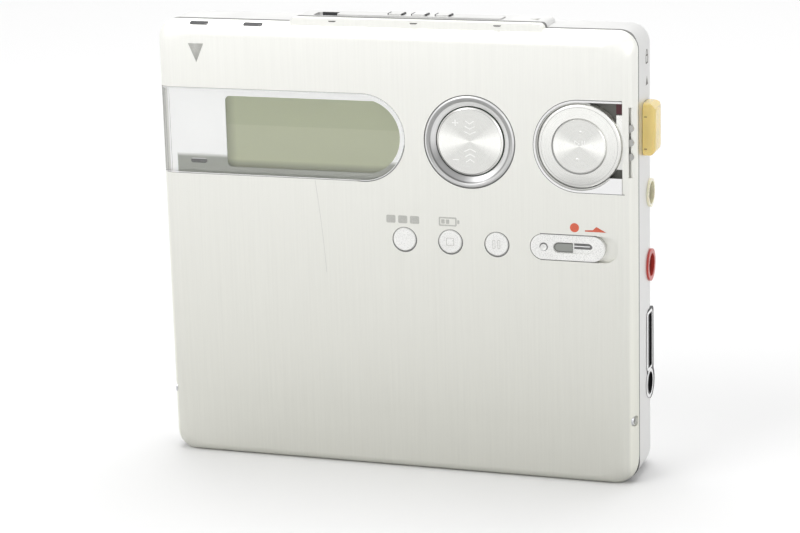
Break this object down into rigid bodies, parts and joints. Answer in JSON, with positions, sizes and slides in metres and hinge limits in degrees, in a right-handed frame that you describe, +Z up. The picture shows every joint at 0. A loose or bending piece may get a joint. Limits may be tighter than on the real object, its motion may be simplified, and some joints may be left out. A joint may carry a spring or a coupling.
{
  "type": "portable minidisc player",
  "caption": "Slim upright disc-cartridge player: hinged brushed lid with display, volume pad, jog lever and keys over a rounded base.",
  "frame": {"origin": "on the bottom edge, at the middle of the face that the player stands on", "axes": "+Z up the front as it stands, +X to the right seen from the front, +Y from the lid to the back"},
  "size_m": [0.08, 0.0156, 0.0728],
  "materials": {
    "face": "fine vertical brushing, clear anodised",
    "casing": "satin silver",
    "window": "clear polished acrylic",
    "surround": "silver print behind the window",
    "lcd": "grey-green display cell",
    "smoke": "smoked lens",
    "chrome": "bright chrome",
    "spun": "turned rings, bright",
    "key": "pearl white",
    "dark": "black moulded plastic",
    "amber": "translucent amber",
    "red": "translucent red",
    "cream": "pale yellow",
    "steel": "plain sheet steel",
    "board": "green solder mask",
    "gold": "gold-plated spring strip",
    "lens": "coated lens",
    "cell": "plain battery can",
    "gear": "white acetal",
    "screw": "small steel screws"
  },
  "bodies": {
    "base": {"base_shell": "casing", "top_rail": "casing", "mic_jack": "red", "line_jack": "cream", "remote_socket": "dark", "chassis_plate": "steel", "holder_ears": "steel", "screw_posts": "steel", "rod_bearings": "dark", "spindle_motor": "steel", "guide_rods": "steel", "sled_motor": "steel", "main_board": "board", "battery": "cell", "battery_contacts": "gold", "case_screws": "screw"},
    "lid": {"lid_shell": "face", "lid_frame": "steel", "lid_board": "board", "lid_screws": "screw", "hinge_pins": "steel", "display_window": "window", "window_mask": "surround", "lcd_panel": "lcd", "led_lens": "smoke", "pad_ring": "chrome", "jog_bezel": "chrome", "jog_well": "dark", "rec_track": "chrome"},
    "pad_rocker": {"pad_rocker": "dark"},
    "pad_cap": {"pad_cap": "spun"},
    "jog_dial": {"jog_dial": "spun"},
    "jog_button": {"jog_button": "spun"},
    "group_button": {"group_button": "key"},
    "stop_button": {"stop_button": "key"},
    "pause_button": {"pause_button": "key"},
    "rec_knob": {"rec_knob": "spun"},
    "disc_holder": {"disc_holder": "steel", "holder_springs": "steel"},
    "head_arm": {"head_arm": "dark"},
    "open_slider": {"open_knob": "casing", "latch_plate": "steel"},
    "hold_knob": {"hold_knob": "amber"},
    "turntable": {"turntable": "steel"},
    "pickup": {"pickup_sled": "dark", "pickup_lens": "lens"},
    "lead_screw": {"lead_screw": "steel", "screw_gear": "gear"},
    "motor_pinion": {"motor_pinion": "gold"},
    "battery_door": {"battery_door": "casing"}
  },
  "joints": [
    {"name": "lid_hinge", "type": "hinge", "parent": "base", "child": "lid", "pos_m": [0, -0.00632, 0.00143], "axis": [1, 0, 0], "range_deg": [0, 27]},
    {"name": "holder_tilt", "type": "hinge", "parent": "base", "child": "disc_holder", "pos_m": [0, -0.002, 0.0034], "axis": [1, 0, 0], "range_deg": [0, 8.1]},
    {"name": "head_lift", "type": "hinge", "parent": "disc_holder", "child": "head_arm", "pos_m": [0.032, -0.0047, 0.036], "axis": [0, 0, 1], "range_deg": [0, 2.7]},
    {"name": "pad_up_down", "type": "hinge", "parent": "lid", "child": "pad_rocker", "pos_m": [0.013, -0.0066, 0.0539], "axis": [1, 0, 0], "range_deg": [-2.5, 2.5], "stiffness_Nm_per_rad": 0.02},
    {"name": "pad_left_right", "type": "hinge", "parent": "pad_rocker", "child": "pad_cap", "pos_m": [0.013, -0.0066, 0.0539], "axis": [0, 0, 1], "range_deg": [-2.5, 2.5], "stiffness_Nm_per_rad": 0.02},
    {"name": "jog_turn", "type": "hinge", "parent": "lid", "child": "jog_dial", "pos_m": [0.0304, -0.00775, 0.0539], "axis": [0, 1, 0], "range_deg": [-8, 8], "stiffness_Nm_per_rad": 0.01},
    {"name": "jog_press", "type": "slide", "parent": "jog_dial", "child": "jog_button", "axis": [0, 1, 0], "range_m": [0, 0.0004], "stiffness_N_per_m": 800},
    {"name": "group_press", "type": "slide", "parent": "lid", "child": "group_button", "axis": [0, 1, 0], "range_m": [0, 0.0004], "stiffness_N_per_m": 800},
    {"name": "stop_press", "type": "slide", "parent": "lid", "child": "stop_button", "axis": [0, 1, 0], "range_m": [0, 0.0004], "stiffness_N_per_m": 800},
    {"name": "pause_press", "type": "slide", "parent": "lid", "child": "pause_button", "axis": [0, 1, 0], "range_m": [0, 0.0004], "stiffness_N_per_m": 800},
    {"name": "rec_slide", "type": "slide", "parent": "lid", "child": "rec_knob", "axis": [1, 0, 0], "range_m": [0, 0.002], "stiffness_N_per_m": 200},
    {"name": "open_slide", "type": "slide", "parent": "base", "child": "open_slider", "axis": [-1, 0, 0], "range_m": [0, 0.003], "stiffness_N_per_m": 300},
    {"name": "hold_slide", "type": "slide", "parent": "base", "child": "hold_knob", "axis": [0, 0, 1], "range_m": [0, 0.002]},
    {"name": "spindle_spin", "type": "hinge", "parent": "base", "child": "turntable", "pos_m": [0, 0.0005, 0.036], "axis": [0, 1, 0], "continuous": true},
    {"name": "sled_slide", "type": "slide", "parent": "base", "child": "pickup", "axis": [-1, 0, 0], "range_m": [0, 0.014]},
    {"name": "screw_turn", "type": "hinge", "parent": "base", "child": "lead_screw", "pos_m": [0, 0.0038, 0.0482], "axis": [1, 0, 0], "range_deg": [0, 6301]},
    {"name": "pinion_turn", "type": "hinge", "parent": "base", "child": "motor_pinion", "pos_m": [0, 0.0038, 0.05124], "axis": [1, 0, 0], "range_deg": [-12602, 0]},
    {"name": "door_hinge", "type": "hinge", "parent": "base", "child": "battery_door", "pos_m": [-0.0335, 0.0074, 0.012], "axis": [0, 0, -1], "range_deg": [0, 85]}
  ],
  "couplings": [
    {"joint": "holder_tilt", "follows": "lid_hinge", "ratio": 0.3},
    {"joint": "head_lift", "follows": "lid_hinge", "ratio": 0.1},
    {"joint": "screw_turn", "follows": "sled_slide", "rad_per_m": 7854},
    {"joint": "pinion_turn", "follows": "sled_slide", "rad_per_m": -15708}
  ]
}
